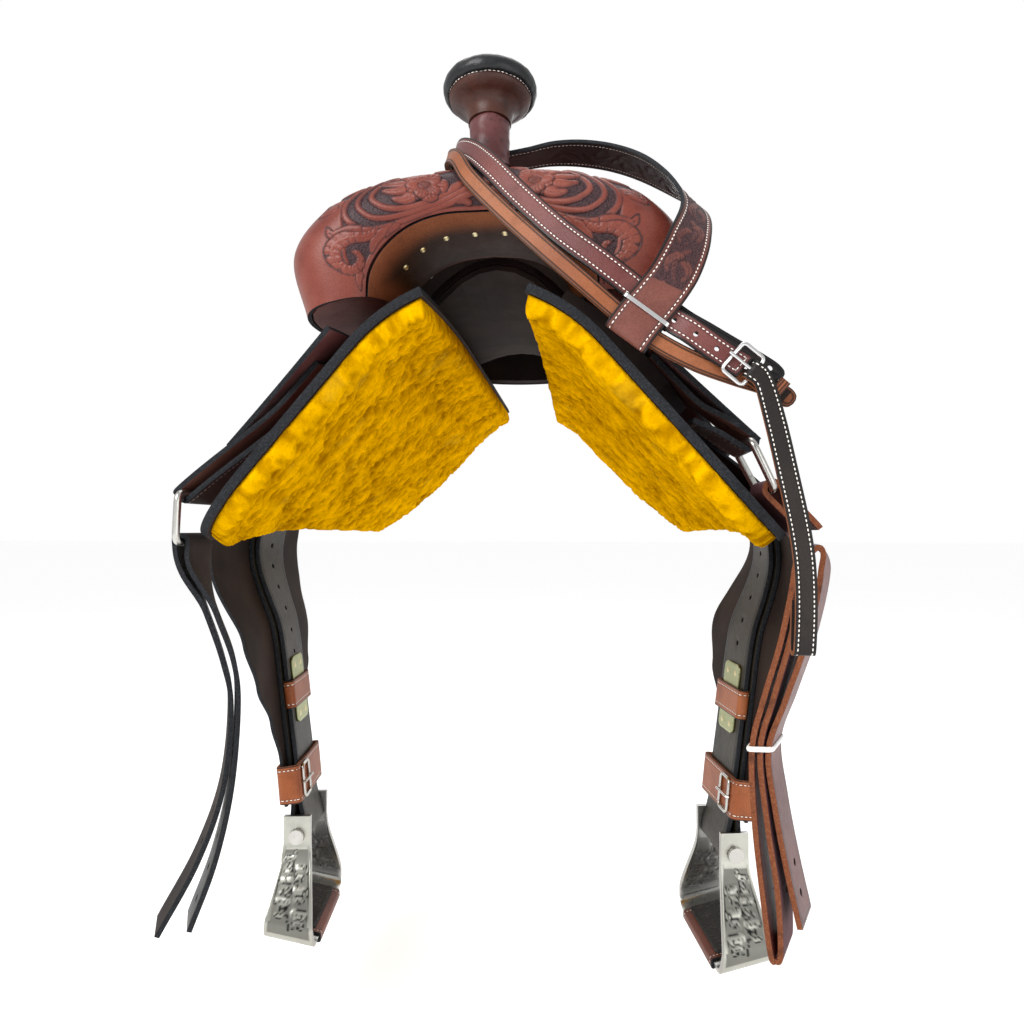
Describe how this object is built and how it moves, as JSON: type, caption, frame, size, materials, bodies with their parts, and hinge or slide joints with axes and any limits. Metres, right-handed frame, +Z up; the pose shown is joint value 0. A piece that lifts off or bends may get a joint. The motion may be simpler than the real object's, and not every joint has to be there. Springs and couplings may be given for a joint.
{
  "type": "western pleasure saddle",
  "caption": "Western saddle with carved swell, horn, fleece-lined skirts, fenders with stirrups, D rings with latigo and billet, and straps hung on the horn.",
  "frame": {"origin": "on the centre plane, at the height of the skirts' top edges at mid length and above the girth line", "axes": "+Z up, +Y towards the cantle, +X towards the near (left) side of the horse"},
  "size_m": [0.559, 0.65, 0.8012],
  "materials": {
    "burgundy_leather": "carved and oiled",
    "gullet_leather": "smooth brown",
    "seat_leather": "smooth padded",
    "black_leather": "dark, worn",
    "fender_leather": "near-black",
    "stirrup_leather": "dark olive",
    "tan_leather": "orange tan",
    "oxblood_leather": "oiled latigo",
    "tread_leather": "red-brown wrap",
    "fleece": "mustard wool pile",
    "tree_wood": "rawhide-covered",
    "nickel_steel": "nickel plated",
    "horn_steel": "cast",
    "silver_trim": "engraved",
    "brass_plate": "tarnished",
    "aluminium": "polished and engraved",
    "rubber": "ribbed"
  },
  "bodies": {
    "saddle": {"tree_fork": "tree_wood", "tree_bar_near": "tree_wood", "tree_bar_off": "tree_wood", "tree_cantle": "tree_wood", "horn_core": "horn_steel", "horn_neck_wrap": "gullet_leather", "horn_cap_leather": "burgundy_leather", "horn_cap_binding": "black_leather", "swell_cover": "burgundy_leather", "gullet_cover": "gullet_leather", "ground_seat": "black_leather", "seat_leather": "seat_leather", "cantle_roll": "burgundy_leather", "skirt_near": "burgundy_leather", "skirt_off": "burgundy_leather", "fleece_near": "fleece", "fleece_off": "fleece", "rigging_near": "black_leather", "rigging_off": "black_leather", "front_jockey_near": "burgundy_leather", "front_jockey_off": "burgundy_leather", "seat_jockey_near": "burgundy_leather", "seat_jockey_off": "burgundy_leather", "rear_jockey_near": "burgundy_leather", "rear_jockey_off": "burgundy_leather", "concho_near": "silver_trim", "concho_off": "silver_trim", "collar_band": "burgundy_leather", "tan_strap": "tan_leather", "stitched_strap": "burgundy_leather", "tack_buckle": "nickel_steel", "thin_strap": "black_leather"},
    "leathers_near": {"fender_near": "fender_leather", "stirrup_leather_near": "stirrup_leather", "buckle_plate_near": "brass_plate", "hobble_strap_near": "tan_leather", "hobble_buckle_near": "nickel_steel"},
    "leathers_off": {"fender_off": "fender_leather", "stirrup_leather_off": "stirrup_leather", "buckle_plate_off": "brass_plate", "hobble_strap_off": "tan_leather", "hobble_buckle_off": "nickel_steel"},
    "sleeve_near": {"buckle_sleeve_near": "tan_leather"},
    "sleeve_off": {"buckle_sleeve_off": "tan_leather"},
    "tongue_near": {"hobble_tongue_near": "nickel_steel"},
    "tongue_off": {"hobble_tongue_off": "nickel_steel"},
    "stirrup_near": {"stirrup_frame_near": "aluminium", "stirrup_bolt_near": "nickel_steel", "tread_leather_near": "tread_leather", "tread_pad_near": "rubber"},
    "stirrup_off": {"stirrup_frame_off": "aluminium", "stirrup_bolt_off": "nickel_steel", "tread_leather_off": "tread_leather", "tread_pad_off": "rubber"},
    "ring_near": {"dee_near": "nickel_steel"},
    "ring_off": {"dee_off": "nickel_steel"},
    "latigo": {"latigo": "oxblood_leather"},
    "off_billet": {"off_billet": "black_leather"},
    "hanging_strap": {"hanging_strap": "black_leather"},
    "tack_tongue": {"tack_tongue": "nickel_steel"}
  },
  "joints": [
    {"name": "fender_swing_near", "type": "hinge", "parent": "saddle", "child": "leathers_near", "pos_m": [0.12033, -0.055, -0.04573], "axis": [0.7071, 0, 0.7071], "range_deg": [-8, 14]},
    {"name": "fender_swing_off", "type": "hinge", "parent": "saddle", "child": "leathers_off", "pos_m": [-0.12033, -0.055, -0.04573], "axis": [0.7071, 0, -0.7071], "range_deg": [-8, 14]},
    {"name": "stirrup_swing_near", "type": "hinge", "parent": "leathers_near", "child": "stirrup_near", "pos_m": [0.21707, -0.055, -0.505], "axis": [-0.1564, 0.9877, 0], "range_deg": [-40, 40]},
    {"name": "stirrup_swing_off", "type": "hinge", "parent": "leathers_off", "child": "stirrup_off", "pos_m": [-0.21708, -0.055, -0.505], "axis": [-0.1219, 0.9925, 0], "range_deg": [-40, 40]},
    {"name": "sleeve_slide_near", "type": "slide", "parent": "leathers_near", "child": "sleeve_near", "axis": [0.1238, 0, 0.9923], "range_m": [0, 0.016]},
    {"name": "sleeve_slide_off", "type": "slide", "parent": "leathers_off", "child": "sleeve_off", "axis": [-0.1238, 0, 0.9923], "range_m": [0, 0.016]},
    {"name": "tongue_turn_near", "type": "hinge", "parent": "leathers_near", "child": "tongue_near", "pos_m": [0.21685, -0.0917, -0.45026], "axis": [0.1034, 0, 0.9946], "range_deg": [0, 75]},
    {"name": "tongue_turn_off", "type": "hinge", "parent": "leathers_off", "child": "tongue_off", "pos_m": [-0.2068, -0.08984, -0.45026], "axis": [0.1034, 0, -0.9946], "range_deg": [0, 75]},
    {"name": "ring_turn_near", "type": "hinge", "parent": "saddle", "child": "ring_near", "pos_m": [0.20191, -0.24, -0.12685], "axis": [0, -1, 0], "range_deg": [0, 30]},
    {"name": "ring_turn_off", "type": "hinge", "parent": "saddle", "child": "ring_off", "pos_m": [-0.24114, -0.24, -0.16344], "axis": [0, 1, 0], "range_deg": [0, 30]},
    {"name": "latigo_swing", "type": "hinge", "parent": "ring_near", "child": "latigo", "pos_m": [0.21944, -0.24, -0.1628], "axis": [0, -1, 0], "range_deg": [0, 25]},
    {"name": "billet_swing", "type": "hinge", "parent": "ring_off", "child": "off_billet", "pos_m": [-0.24532, -0.24, -0.20323], "axis": [0, 1, 0], "range_deg": [0, 25]},
    {"name": "hanging_strap_swing", "type": "hinge", "parent": "saddle", "child": "hanging_strap", "pos_m": [0.19356, -0.3145, -0.08645], "axis": [-0.6606, 0, -0.7507], "range_deg": [0, 35]},
    {"name": "tack_tongue_turn", "type": "hinge", "parent": "saddle", "child": "tack_tongue", "pos_m": [0.19356, -0.3145, -0.08645], "axis": [0.6606, 0, 0.7507], "range_deg": [0, 60]}
  ]
}
